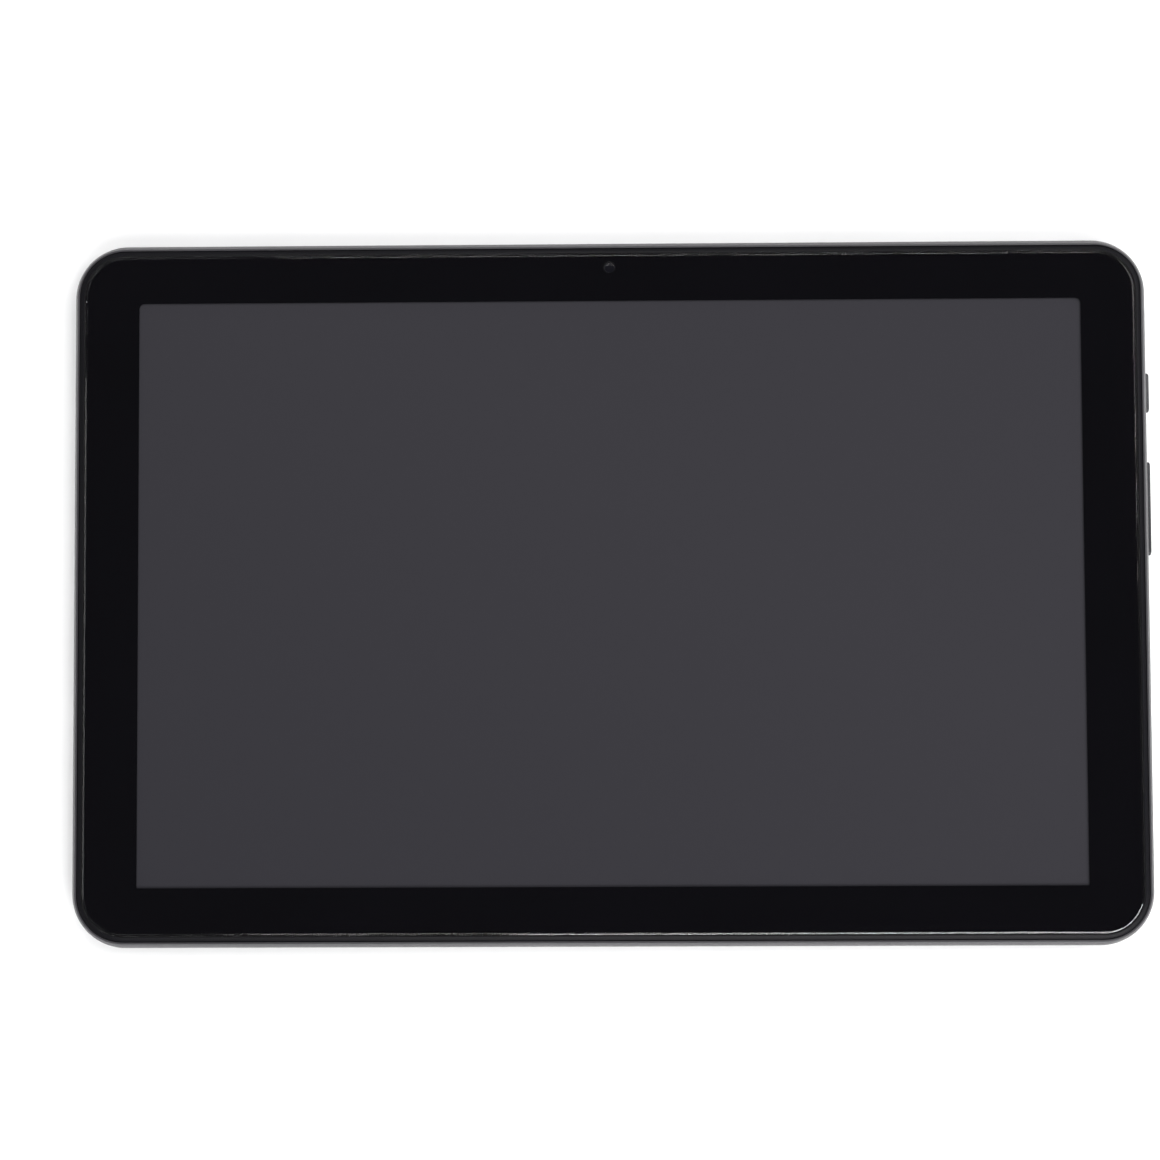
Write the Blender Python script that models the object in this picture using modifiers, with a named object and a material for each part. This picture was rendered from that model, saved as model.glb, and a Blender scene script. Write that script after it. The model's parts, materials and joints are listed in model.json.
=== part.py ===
"""Tablet computer lying on its back: housing, display stack, battery, boards, keys and card tray.

Metres. The origin is the centre of the flat back. +X runs along the long side towards the buttons,
+Y towards the long side with the front camera, and +Z out of the screen.
"""

import math

import bmesh
import bpy
from mathutils import Vector

# Outline of the body, and the section of its side.
BODY_LENGTH = 0.2485
BODY_WIDTH = 0.1627
SIDE = BODY_LENGTH / 2
EDGE = BODY_WIDTH / 2
BODY_CORNER = 0.0125
CORNER_STEPS = 8
WIDEST_Z = 0.0033
BACK_INSET = 0.0034
LOWER_STEPS = 5
UPPER_CURVE = 68.0
UPPER_STEPS = 4

# Heights of the housing's layers.
FLOOR_TOP = 0.0008
PLATE_BOTTOM = 0.0044
PLATE_TOP = 0.0050
SHELF_TOP = 0.0073
COVER_TOP = 0.0078
LIP_OUTER_TOP = 0.0079
LIP_TOP = 0.0083
GLASS_BOTTOM = 0.0078
GLASS_TOP = 0.0087

# Insets of the housing's walls from the outline.
FLOOR_INSET = 0.0026
WALL_INSET = 0.00175
LIP_INSET = 0.00195
GLASS_POCKET_INSET = 0.00305
GLASS_INSET = 0.0033
GLASS_EDGE = 0.00035
LAYER_INSET = 0.00345
FIT = 0.0001

# Display: the clear window, and the footprint of the panel under it.
WINDOW_LENGTH = 0.2172
WINDOW_WIDTH = 0.1345
WINDOW_TOP_CORNER = 0.0013
WINDOW_BOTTOM_CORNER = 0.0002
PANEL_X = 0.1138
PANEL_BACK_Y = -0.0738
PANEL_FRONT_Y = 0.0704
PANEL_CLEARANCE = 0.0004

# Cameras, buttons, ports and holes.
FRONT_CAMERA = (0.0002, 0.0750)
FRONT_CAMERA_HOLE = 0.0014
REAR_CAMERA = (0.1060, 0.0640)
REAR_CAMERA_HOLE = 0.0054
POWER_Y = 0.0457
POWER_LENGTH = 0.0092
VOLUME_Y = 0.0188
VOLUME_LENGTH = 0.0217
BUTTON_HEIGHT = 0.0022
BUTTON_PROUD = 0.00075
BUTTON_SLACK = 0.0003
ROCKER_PIVOT_X = SIDE - 0.0024
ROCKER_ARM = 0.0075
USB_Y = -0.0284
USB_Z = 0.0029
PORT_LENGTH = 0.0092
PORT_HEIGHT = 0.0034
SHELL_LENGTH = 0.00894
SHELL_HEIGHT = 0.00316
SHELL_WALL = 0.0003
TRAY_X = 0.04135
TRAY_LENGTH = 0.0212
TRAY_HEIGHT = 0.0020
EJECT_X = 0.0509
LEVER_PIVOT = (0.0445, 0.0576)
MICROPHONE_TOP_X = -0.1007
MICROPHONE_BOTTOM_X = -0.0566
RESET_HOLE_X = 0.0702
GRILLE_CENTRES = (-0.10875, 0.10875)
GRILLE_Y = -0.0620
GRILLE_PITCH = 0.0019
GRILLE_COLUMNS = 8
GRILLE_ROWS = 2
BOSSES = ((0.0570, 0.0040), (0.0570, 0.0400), (0.1120, 0.0520), (0.1120, -0.0050), (-0.1040, -0.0400))

# Colour, roughness and metallic value of each finish.
FINISHES = {
    "housing": ((0.042, 0.043, 0.047), 0.48, 0.0),
    "frame": ((0.022, 0.022, 0.025), 0.42, 0.0),
    "glass": ((0.55, 0.56, 0.58), 0.03, 0.0),
    "ink": ((0.004, 0.004, 0.005), 0.30, 0.0),
    "display": ((0.048, 0.047, 0.054), 0.35, 0.0),
    "film": ((0.80, 0.82, 0.84), 0.25, 0.0),
    "foam": ((0.02, 0.02, 0.02), 0.90, 0.0),
    "board": ((0.015, 0.060, 0.035), 0.45, 0.0),
    "flex": ((0.30, 0.13, 0.02), 0.40, 0.0),
    "chip": ((0.02, 0.02, 0.022), 0.50, 0.0),
    "steel": ((0.60, 0.60, 0.61), 0.28, 1.0),
    "pouch": ((0.50, 0.51, 0.53), 0.35, 0.7),
    "plastic": ((0.025, 0.025, 0.027), 0.55, 0.0),
    "lens": ((0.010, 0.012, 0.020), 0.05, 0.0),
}

# Rectangular inner pieces: lowest corner, highest corner, finish.
INNER_BLOCKS = {
    "optical_films": ((-0.1130, -0.0730, 0.0060), (0.1130, 0.0696, 0.0063), "film"),
    "light_guide": ((-0.1130, -0.0708, 0.0055), (0.1130, 0.0696, 0.0059), "film"),
    "touch_film": ((-0.1135, -0.0735, 0.0074), (0.1135, 0.0702, 0.0075), "film"),
    "lcd_cell": ((-0.1138, -0.0738, 0.0064), (0.1138, 0.0704, 0.0073), "display"),
    "processor": ((0.0740, 0.0220, 0.00225), (0.0880, 0.0360, 0.00345), "chip"),
    "power_chip": ((0.0990, 0.0200, 0.00225), (0.1060, 0.0270, 0.00315), "chip"),
    "graphite_sheet": ((0.0640, 0.0080, 0.00405), (0.1140, 0.0440, 0.00415), "foam"),
    "battery_protection_board": ((-0.0300, 0.0450, 0.0013), (0.0100, 0.0495, 0.0033), "board"),
    "battery_lead": ((0.0103, 0.0462, 0.0024), (0.0300, 0.0492, 0.0032), "foam"),
    "usb_c_tongue": (
        (-SIDE + 0.0015, USB_Y - 0.00335, 0.00255),
        (-SIDE + 0.0068, USB_Y + 0.00335, 0.00325),
        "plastic",
    ),
    "speaker_mesh_left": ((-0.1175, -0.0670, 0.0009), (-0.1000, -0.0570, 0.0010), "foam"),
    "speaker_mesh_right": ((0.1000, -0.0670, 0.0009), (0.1175, -0.0570, 0.0010), "foam"),
    "key_board": ((SIDE - 0.0056, 0.0040, 0.0018), (SIDE - 0.0052, 0.0540, 0.0043), "flex"),
    "key_bracket": ((SIDE - 0.0064, 0.0020, 0.0012), (SIDE - 0.0058, 0.0560, 0.0043), "steel"),
    "card_contacts": ((0.0325, 0.0610, 0.00225), (0.0495, 0.0740, 0.00255), "plastic"),
    "microphone_top": (
        (MICROPHONE_TOP_X - 0.0018, EDGE - 0.0049, 0.0027),
        (MICROPHONE_TOP_X + 0.0018, EDGE - 0.0021, 0.0039),
        "steel",
    ),
    "microphone_bottom": (
        (MICROPHONE_BOTTOM_X - 0.0018, -EDGE + 0.0021, 0.0027),
        (MICROPHONE_BOTTOM_X + 0.0018, -EDGE + 0.0049, 0.0039),
        "steel",
    ),
    "wifi_antenna": ((-0.1160, 0.0580, 0.0010), (-0.0860, 0.0750, 0.0012), "flex"),
}

# Shielding cans, open towards the board: lowest corner and highest corner.
SHIELDS = {
    "processor_shield": ((0.0680, 0.0140, 0.00225), (0.0920, 0.0420, 0.00395)),
    "power_shield": ((0.0950, 0.0100, 0.00225), (0.1130, 0.0420, 0.00395)),
}
SHIELD_WALL = 0.0002


def clear_scene():
    for obj in list(bpy.data.objects):
        bpy.data.objects.remove(obj, do_unlink=True)


def new_collection(name):
    collection = bpy.data.collections.new(name)
    bpy.context.scene.collection.children.link(collection)
    return collection


clear_scene()
PARTS = new_collection("tablet_computer")
CUTTERS = new_collection("cutters")
CUTTERS.hide_render = True
ROOT = bpy.data.objects.new("tablet", None)
PARTS.objects.link(ROOT)


def finish_material(name, finish):
    """The part's own material, with the finish's colour, roughness and metallic value."""
    colour, roughness, metallic = FINISHES[finish]
    material = bpy.data.materials.new(name)
    material.use_nodes = True
    shader = material.node_tree.nodes["Principled BSDF"]
    shader.inputs["Base Color"].default_value = (*colour, 1.0)
    shader.inputs["Roughness"].default_value = roughness
    shader.inputs["Metallic"].default_value = metallic
    if finish == "glass":
        shader.inputs["Alpha"].default_value = 0.35
    return material


def add_object(name, bm, finish=None, location=(0.0, 0.0, 0.0)):
    """Makes an object of the mesh: a part if it has a finish, or else a cutter."""
    bm.normal_update()
    bmesh.ops.recalc_face_normals(bm, faces=bm.faces)
    mesh = bpy.data.meshes.new(name)
    bm.to_mesh(mesh)
    bm.free()
    obj = bpy.data.objects.new(name, mesh)
    obj.location = location
    if finish:
        mesh.materials.append(finish_material(name, finish))
        mesh.shade_smooth()
        mesh.set_sharp_from_angle(angle=math.radians(32))
        PARTS.objects.link(obj)
        obj.parent = ROOT
    else:
        CUTTERS.objects.link(obj)
        obj.hide_render = True
        obj.display_type = "WIRE"
    return obj


def block(name, low, high, finish=None, rounding=0.0):
    """A box between two corners, with its edges rounded where asked."""
    low, high = Vector(low), Vector(high)
    bm = bmesh.new()
    bmesh.ops.create_cube(bm, size=1.0)
    bmesh.ops.scale(bm, vec=high - low, verts=bm.verts)
    obj = add_object(name, bm, finish, (low + high) / 2)
    if rounding:
        bevel = obj.modifiers.new("rounding", "BEVEL")
        bevel.width = rounding
        bevel.segments = 2
    return obj


def cylinder(name, centre, radius, length, axis="Z", finish=None, sides=16):
    """A round bar centred on a point, along one of the three axes."""
    bm = bmesh.new()
    bmesh.ops.create_cone(bm, cap_ends=True, segments=sides, radius1=radius, radius2=radius, depth=length)
    obj = add_object(name, bm, finish, centre)
    turns = {"X": (0.0, math.pi / 2, 0.0), "Y": (math.pi / 2, 0.0, 0.0), "Z": (0.0, 0.0, 0.0)}
    obj.rotation_euler = turns[axis]
    return obj


def rounded_rectangle(low, high, radii, steps=CORNER_STEPS):
    """Outline of a rectangle, anticlockwise from its top right corner, with a radius for each corner."""
    (x0, y0), (x1, y1) = low, high
    signs = ((1, 1), (-1, 1), (-1, -1), (1, -1))
    outline = []
    for quarter, (side_x, side_y) in enumerate(signs):
        radius = radii[quarter]
        x = (x1 if side_x > 0 else x0) - side_x * radius
        y = (y1 if side_y > 0 else y0) - side_y * radius
        for step in range(steps + 1):
            angle = math.pi / 2 * (quarter + step / steps)
            outline.append((x + radius * math.cos(angle), y + radius * math.sin(angle)))
    return outline


def body_outline(inset):
    """The body's outline moved inwards."""
    x = BODY_LENGTH / 2 - inset
    y = BODY_WIDTH / 2 - inset
    return rounded_rectangle((-x, -y), (x, y), (BODY_CORNER - inset,) * 4)


def slot_outline(centre, length, height, steps=10):
    """Outline of a slot with half-round ends."""
    radius = height / 2
    outline = []
    for side, start in ((1, -math.pi / 2), (-1, math.pi / 2)):
        x = centre[0] + side * (length / 2 - radius)
        for step in range(steps + 1):
            angle = start + math.pi * step / steps
            outline.append((x + radius * math.cos(angle), centre[1] + radius * math.sin(angle)))
    return outline


def prism(name, outline, start, end, axis="Z", finish=None):
    """A flat outline extruded along an axis. Its two numbers are the other axes, in X, Y, Z order."""
    bm = bmesh.new()
    verts = [bm.verts.new((u, v, 0.0)) for u, v in outline]
    face = bm.faces.new(verts)
    extruded = bmesh.ops.extrude_face_region(bm, geom=[face])["geom"]
    far = [item for item in extruded if isinstance(item, bmesh.types.BMVert)]
    bmesh.ops.translate(bm, verts=far, vec=(0.0, 0.0, end - start))
    for vert in bm.verts:
        u, v, w = vert.co.x, vert.co.y, vert.co.z + start
        vert.co = {"X": (w, u, v), "Y": (u, w, v), "Z": (u, v, w)}[axis]
    return add_object(name, bm, finish)


def loft(name, sections, finish=None):
    """A solid through a row of outlines at their heights, closed by a face at each end."""
    bm = bmesh.new()
    rings = [[bm.verts.new((x, y, z)) for x, y in outline] for outline, z in sections]
    for lower, upper in zip(rings, rings[1:]):
        for index in range(len(lower)):
            following = (index + 1) % len(lower)
            bm.faces.new((lower[index], lower[following], upper[following], upper[index]))
    bm.faces.new(rings[0])
    bm.faces.new(rings[-1])
    return add_object(name, bm, finish)


def turned(name, profile, location, finish, steps=20):
    """A turned piece. The profile's points are radius and height, from the top down the outer side."""
    bm = bmesh.new()
    verts = [bm.verts.new((radius, 0.0, height)) for radius, height in profile]
    for first, second in zip(verts, verts[1:]):
        bm.edges.new((first, second))
    if profile[0][0] > 0.0:
        bm.edges.new((verts[-1], verts[0]))
    obj = add_object(name, bm, finish, location)
    screw = obj.modifiers.new("turn", "SCREW")
    screw.steps = steps
    screw.render_steps = steps
    screw.use_merge_vertices = True
    screw.merge_threshold = 0.00001
    return obj


def combine(target, tool, operation="DIFFERENCE"):
    """Cuts the tool from the target, or joins or intersects them."""
    boolean = target.modifiers.new(tool.name, "BOOLEAN")
    boolean.operation = operation
    boolean.solver = "EXACT"
    boolean.object = tool


def move_origin(obj, point):
    """Puts the origin of a moving piece on its joint's axis without moving its shape."""
    shift = Vector(point) - obj.location
    for vert in obj.data.vertices:
        vert.co -= shift
    obj.location = point


def outer_sections():
    """Insets and heights down the outside of the rear cover, from its rim to the flat back."""
    sections = []
    for step in range(UPPER_STEPS + 1):
        z = COVER_TOP + (WIDEST_Z - COVER_TOP) * step / UPPER_STEPS
        sections.append((UPPER_CURVE * (z - WIDEST_Z) ** 2, z))
    for step in range(1, LOWER_STEPS + 1):
        angle = math.pi / 2 * step / LOWER_STEPS
        sections.append((BACK_INSET * (1 - math.cos(angle)), WIDEST_Z * (1 - math.sin(angle))))
    return sections


def grille_holes(name, centre_x):
    """One tool with a cylinder for each sound hole of a speaker."""
    bm = bmesh.new()
    for row in range(GRILLE_ROWS):
        for column in range(GRILLE_COLUMNS):
            made = bmesh.ops.create_cone(
                bm, cap_ends=True, segments=8, radius1=0.0005, radius2=0.0005, depth=0.003
            )
            x = centre_x + (column - (GRILLE_COLUMNS - 1) / 2) * GRILLE_PITCH
            y = GRILLE_Y + (row - (GRILLE_ROWS - 1) / 2) * GRILLE_PITCH
            bmesh.ops.translate(bm, verts=made["verts"], vec=(x, y, 0.0))
    return add_object(name, bm)


def make_rear_cover():
    inside = [(FLOOR_INSET, FLOOR_TOP), (WALL_INSET, FLOOR_TOP * 2), (WALL_INSET, COVER_TOP)]
    sections = [(body_outline(inset), z) for inset, z in inside + outer_sections()]
    cover = loft("rear_cover", sections, "housing")
    reach = 0.004
    for name, y, length in (("power", POWER_Y, POWER_LENGTH), ("volume", VOLUME_Y, VOLUME_LENGTH)):
        outline = slot_outline((y, WIDEST_Z), length + BUTTON_SLACK, BUTTON_HEIGHT + BUTTON_SLACK)
        combine(cover, prism(f"{name}_opening", outline, SIDE - reach, SIDE + reach, "X"))
    port = slot_outline((USB_Y, USB_Z), PORT_LENGTH, PORT_HEIGHT)
    combine(cover, prism("usb_opening", port, -SIDE - reach, -SIDE + reach, "X"))
    combine(cover, prism("tray_opening", tray_outline(FIT), EDGE - reach, EDGE + reach, "Y"))
    for name, x, y in (("top", MICROPHONE_TOP_X, EDGE), ("bottom", MICROPHONE_BOTTOM_X, -EDGE)):
        hole = cylinder(f"microphone_hole_{name}", (x, y, WIDEST_Z), 0.0005, 0.006, "Y", sides=10)
        combine(cover, hole)
    combine(cover, cylinder("reset_hole", (RESET_HOLE_X, -EDGE, WIDEST_Z), 0.0003, 0.006, "Y", sides=8))
    combine(cover, cylinder("rear_camera_hole", (*REAR_CAMERA, 0.0), REAR_CAMERA_HOLE, 0.004, sides=28))
    for number, centre_x in enumerate(GRILLE_CENTRES):
        combine(cover, grille_holes(f"grille_holes_{number}", centre_x))


def make_mid_frame():
    """The ring around the glass, the shelf under it and the plate behind the display, in one piece."""
    insets = (
        (LIP_INSET, PLATE_BOTTOM),
        (LIP_INSET, LIP_OUTER_TOP),
        (LIP_INSET + 0.0005, LIP_OUTER_TOP + 0.0002),
        (GLASS_POCKET_INSET, LIP_TOP),
        (GLASS_POCKET_INSET, SHELF_TOP),
    )
    frame = loft("mid_frame", [(body_outline(inset), z) for inset, z in insets], "frame")
    for number, (x, y) in enumerate(BOSSES):
        length = PLATE_BOTTOM - 0.00225 + 0.0003
        boss = cylinder(f"boss_{number}", (x, y, 0.00225 + length / 2), 0.0018, length)
        combine(frame, boss, "UNION")
    gap = PANEL_CLEARANCE
    low = (-PANEL_X - gap, PANEL_BACK_Y - gap, PLATE_TOP)
    high = (PANEL_X + gap, PANEL_FRONT_Y + gap, 0.010)
    combine(frame, block("panel_pocket", low, high))
    port = 0.0052
    reliefs = {
        "key_relief": ((SIDE - 0.0067, 0.0010, 0.0040), (SIDE - 0.0010, 0.0570, 0.0052)),
        "usb_relief": ((-SIDE - 0.0010, USB_Y - port, 0.0040), (-SIDE + 0.0082, USB_Y + port, 0.0049)),
        "display_flex_slot": ((0.0635, -0.0756, 0.0040), (0.0825, -0.0739, 0.0080)),
        "touch_flex_slot": ((0.0875, -0.0756, 0.0040), (0.0985, -0.0739, 0.0080)),
    }
    for name, (low, high) in reliefs.items():
        combine(frame, block(name, low, high))
    x, y = FRONT_CAMERA
    reach = 0.0031
    pocket = block("front_camera_pocket", (x - reach, y - reach, 0.0030), (x + reach, y + reach, 0.0090))
    combine(frame, pocket)
    for number, (x, y) in enumerate(BOSSES):
        combine(frame, cylinder(f"boss_bore_{number}", (x, y, 0.0030), 0.00075, 0.0020, sides=10))


def make_cover_glass():
    """The pane, with the upper edge ground off in two steps."""
    insets = (
        (0.0, GLASS_BOTTOM),
        (0.0, GLASS_TOP - GLASS_EDGE),
        (0.3 * GLASS_EDGE, GLASS_TOP - 0.3 * GLASS_EDGE),
        (GLASS_EDGE, GLASS_TOP),
    )
    loft("cover_glass", [(body_outline(GLASS_INSET + inset), z) for inset, z in insets], "glass")


def make_display_layers():
    """The printed border, the adhesive, the backlight's tray and its row of LEDs."""
    window = rounded_rectangle(
        (-WINDOW_LENGTH / 2, -WINDOW_WIDTH / 2),
        (WINDOW_LENGTH / 2, WINDOW_WIDTH / 2),
        (WINDOW_TOP_CORNER, WINDOW_TOP_CORNER, WINDOW_BOTTOM_CORNER, WINDOW_BOTTOM_CORNER),
        4,
    )
    border = prism("border_mask", body_outline(LAYER_INSET), 0.0076, 0.0077, finish="ink")
    combine(border, prism("display_window", window, 0.0070, 0.0085))
    combine(border, cylinder("camera_window", (*FRONT_CAMERA, 0.0077), FRONT_CAMERA_HOLE, 0.002, sides=24))
    adhesive = prism("glass_adhesive", body_outline(LAYER_INSET), 0.0074, 0.0075, finish="foam")
    gap = PANEL_CLEARANCE + 0.0003
    low = (-PANEL_X - gap, PANEL_BACK_Y - gap, 0.0070)
    high = (PANEL_X + gap, PANEL_FRONT_Y + gap, 0.0080)
    combine(adhesive, block("adhesive_window", low, high))
    x, y = FRONT_CAMERA
    notch = block("adhesive_notch", (x - 0.003, y - 0.006, 0.0070), (x + 0.003, y + 0.0025, 0.0080))
    combine(adhesive, notch)
    tray_rings = ((0.0004, 0.0053), (0.0004, 0.0063), (0.0, 0.0063), (0.0, 0.0051))
    sections = []
    for inset, z in tray_rings:
        low = (-PANEL_X + inset, PANEL_BACK_Y + inset)
        high = (PANEL_X - inset, PANEL_FRONT_Y - inset)
        sections.append((rounded_rectangle(low, high, (0.0008 - inset,) * 4, 2), z))
    loft("backlight_tray", sections, "steel")
    make_led_strip()


def make_led_strip():
    """A comb outline: the strip with a tooth for each LED."""
    count = 18
    pitch = 0.0120
    base, root, tip = -0.0730, -0.0724, -0.0712
    half_led = 0.0016
    start = -count * pitch / 2
    end = count * pitch / 2
    outline = [(start, base), (end, base), (end, root)]
    for number in reversed(range(count)):
        centre = start + (number + 0.5) * pitch
        outline.append((centre + half_led, root))
        outline.append((centre + half_led, tip))
        outline.append((centre - half_led, tip))
        outline.append((centre - half_led, root))
    outline.append((start, root))
    prism("led_strip", outline, 0.0055, 0.0059, finish="film")


def make_flexes():
    """Ribbons that leave the display's edge, pass the plate and plug in to the main board."""
    ribbons = (("display_flex", 0.00705, 0.0640, 0.0820), ("touch_flex", 0.00735, 0.0880, 0.0980))
    for name, top, x0, x1 in ribbons:
        outline = [
            (-0.0739, top),
            (-0.07515, top),
            (-0.07515, 0.00410),
            (-0.0095, 0.00410),
            (-0.0095, 0.00230),
            (-0.0055, 0.00230),
            (-0.0055, 0.00425),
            (-0.0750, 0.00425),
            (-0.0750, top - 0.00015),
            (-0.0739, top - 0.00015),
        ]
        prism(name, outline, x0, x1, "X", "flex")
    ribbon = [
        (-0.104, -0.015),
        (-0.104, -0.022),
        (-0.097, -0.022),
        (-0.097, -0.075),
        (0.061, -0.075),
        (0.061, -0.006),
        (0.054, -0.006),
        (0.054, -0.068),
        (-0.090, -0.068),
        (-0.090, -0.015),
    ]
    prism("usb_flex", ribbon, 0.0024, 0.00255, finish="flex")
    camera_ribbon = [
        (-0.002, 0.056),
        (0.0295, 0.056),
        (0.0295, 0.060),
        (0.0024, 0.060),
        (0.0024, 0.0719),
        (-0.002, 0.0719),
    ]
    prism("front_camera_flex", camera_ribbon, 0.0034, 0.00355, finish="flex")


def make_inner_blocks():
    for name, (low, high, finish) in INNER_BLOCKS.items():
        block(name, low, high, finish)
    for name, (low, high) in SHIELDS.items():
        shield = block(name, low, high, "steel")
        wall = Vector((SHIELD_WALL, SHIELD_WALL, SHIELD_WALL))
        inside_low = Vector(low) + wall
        inside_low.z = 0.0
        combine(shield, block(f"{name}_inside", inside_low, Vector(high) - wall))
    for name, x0 in (("battery_cell_left", -0.0800), ("battery_cell_right", -0.0190)):
        block(name, (x0, -0.0660, 0.0010), (x0 + 0.0590, 0.0440, 0.0040), "pouch", 0.0006)


def make_boards():
    main = [
        (0.026, 0.046),
        (0.052, 0.046),
        (0.052, -0.010),
        (0.116, -0.010),
        (0.116, 0.0765),
        (0.026, 0.0765),
    ]
    main_board = prism("main_board", main, 0.00135, 0.00215, finish="board")
    x, y = REAR_CAMERA
    cutout = block("camera_cutout", (x - 0.005, y - 0.005, 0.0), (x + 0.005, y + 0.005, 0.003))
    combine(main_board, cutout)
    usb = [(-0.121, -0.045), (-0.100, -0.045), (-0.100, -0.012), (-0.121, -0.012)]
    usb_board = prism("usb_board", usb, 0.00135, 0.00215, finish="board")
    notch = block("receptacle_cutout", (-SIDE, USB_Y - 0.0048, 0.0), (-SIDE + 0.0085, USB_Y + 0.0048, 0.003))
    combine(usb_board, notch)
    profile = [
        (0.0, 0.0029),
        (0.00065, 0.0029),
        (0.00065, 0.00035),
        (0.0015, 0.00035),
        (0.0015, 0.0),
        (0.0, 0.0),
    ]
    for number, (x, y) in enumerate(BOSSES):
        board = main_board if x > 0 else usb_board
        combine(board, cylinder(f"screw_hole_{number}", (x, y, 0.00175), 0.0009, 0.002, sides=10))
        turned(f"board_screw_{number + 1}", profile, (x, y, 0.0009), "steel", 10)


def make_usb_receptacle():
    """A cup with its mouth in the side wall: outside, round the lip, and down to the inside's end."""
    outer = slot_outline((0.0, 0.0), SHELL_LENGTH, SHELL_HEIGHT)
    inner = slot_outline((0.0, 0.0), SHELL_LENGTH - 2 * SHELL_WALL, SHELL_HEIGHT - 2 * SHELL_WALL)
    shell = prism("usb_c_shell", outer, -0.0073, 0.0, finish="steel")
    combine(shell, prism("receptacle_inside", inner, -0.0068, 0.001))
    for obj in (shell, bpy.data.objects["receptacle_inside"]):
        obj.rotation_euler = (math.pi / 2, 0.0, -math.pi / 2)
        obj.location = (-SIDE + 0.0004, USB_Y, USB_Z)


def make_speakers():
    for side, centre_x in zip(("left", "right"), GRILLE_CENTRES):
        low = (centre_x - 0.01025, -0.0740, 0.0011)
        high = (centre_x + 0.01025, -0.0500, 0.0042)
        box = block(f"speaker_box_{side}", low, high, "plastic")
        mouth = slot_outline((centre_x, GRILLE_Y), 0.0164, 0.0090)
        combine(box, prism(f"speaker_mouth_{side}", mouth, 0.0, 0.0026))
        cone = slot_outline((centre_x, GRILLE_Y), 0.0150, 0.0076)
        prism(f"speaker_diaphragm_{side}", cone, 0.0016, 0.0019, finish="film")


def make_cameras():
    x, y = FRONT_CAMERA
    reach = 0.0028
    low = (x - reach, y - reach, 0.0024)
    high = (x + reach, y + reach, 0.0064)
    front = block("front_camera_module", low, high, "plastic")
    combine(front, cylinder("front_barrel", (x, y, 0.0067), 0.0021, 0.0010, sides=20), "UNION")
    dome = [
        (0.0, 0.0002),
        (0.0005, 0.00018),
        (0.0010, 0.00010),
        (0.0013, 0.0),
        (0.0013, -0.00012),
        (0.0, -0.00012),
    ]
    turned("front_camera_lens", dome, (x, y, 0.0074), "lens", 20)
    x, y = REAR_CAMERA
    reach = 0.0042
    low = (x - reach, y - reach, 0.0016)
    high = (x + reach, y + reach, 0.0042)
    rear = block("rear_camera_module", low, high, "plastic")
    combine(rear, cylinder("rear_barrel", (x, y, 0.0014), 0.0032, 0.0006, sides=20), "UNION")
    glass = [(0.0, 0.0008), (0.0037, 0.0008), (0.0037, 0.0003), (0.0, 0.0003)]
    turned("rear_camera_window", glass, (x, y, 0.0), "lens", 24)
    ring = [
        (0.0039, 0.0009),
        (0.0052, 0.0009),
        (0.0052, 0.0003),
        (0.0050, 0.0001),
        (0.0041, 0.0001),
        (0.0039, 0.0003),
    ]
    turned("rear_camera_trim", ring, (x, y, 0.0), "steel", 24)


def make_button(name, centre_y, length, flange_face, flange_reach, nubs, nub_tip):
    """A button's stem through the side wall, its flange behind the wall, and its nubs towards the switches."""
    outside = SIDE + BUTTON_PROUD
    stem_start = flange_face - 0.0004
    outline = slot_outline((centre_y, WIDEST_Z), length, BUTTON_HEIGHT)
    button = prism(name, outline, stem_start, outside, "X", "housing")
    bevel = button.modifiers.new("rounding", "BEVEL")
    bevel.width = 0.0002
    bevel.segments = 2
    bevel.limit_method = "ANGLE"
    bevel.angle_limit = math.radians(60)
    half = length / 2 + flange_reach
    flange = block(
        f"{name}_flange",
        (flange_face - 0.0007, centre_y - half, WIDEST_Z - 0.0016),
        (flange_face, centre_y + half, WIDEST_Z + 0.0016),
    )
    combine(button, flange, "UNION")
    for number, offset in enumerate(nubs):
        y = centre_y + offset
        low = (nub_tip, y - 0.0006, WIDEST_Z - 0.0006)
        high = (flange_face - 0.0005, y + 0.0006, WIDEST_Z + 0.0006)
        combine(button, block(f"{name}_nub_{number}", low, high), "UNION")
    return button


def make_side_keys():
    face = SIDE - 0.0019
    power = make_button("power_button", POWER_Y, POWER_LENGTH, face, 0.0015, (0.0,), SIDE - 0.00375)
    move_origin(power, (SIDE, POWER_Y, WIDEST_Z))
    face = SIDE - 0.0021
    nubs = (-ROCKER_ARM, ROCKER_ARM)
    volume = make_button("volume_button", VOLUME_Y, VOLUME_LENGTH, face, 0.0012, nubs, SIDE - 0.00385)
    move_origin(volume, (ROCKER_PIVOT_X, VOLUME_Y, WIDEST_Z))
    switches = {
        "power_switch": POWER_Y,
        "volume_up_switch": VOLUME_Y + ROCKER_ARM,
        "volume_down_switch": VOLUME_Y - ROCKER_ARM,
    }
    for name, y in switches.items():
        low = (SIDE - 0.0051, y - 0.0016, 0.0023)
        high = (SIDE - 0.0046, y + 0.0016, 0.0043)
        switch = block(name, low, high, "steel")
        dome = cylinder(f"{name}_dome", (SIDE - 0.0045, y, WIDEST_Z), 0.0008, 0.0006, "X")
        combine(switch, dome, "UNION")


def tray_outline(gap):
    """The tray's face, in X and Z, made larger by a gap all round."""
    x = TRAY_LENGTH / 2 + gap
    z = TRAY_HEIGHT / 2 + gap
    low = (TRAY_X - x, WIDEST_Z - z)
    high = (TRAY_X + x, WIDEST_Z + z)
    return rounded_rectangle(low, high, (0.0005 + gap,) * 4, 3)


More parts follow.
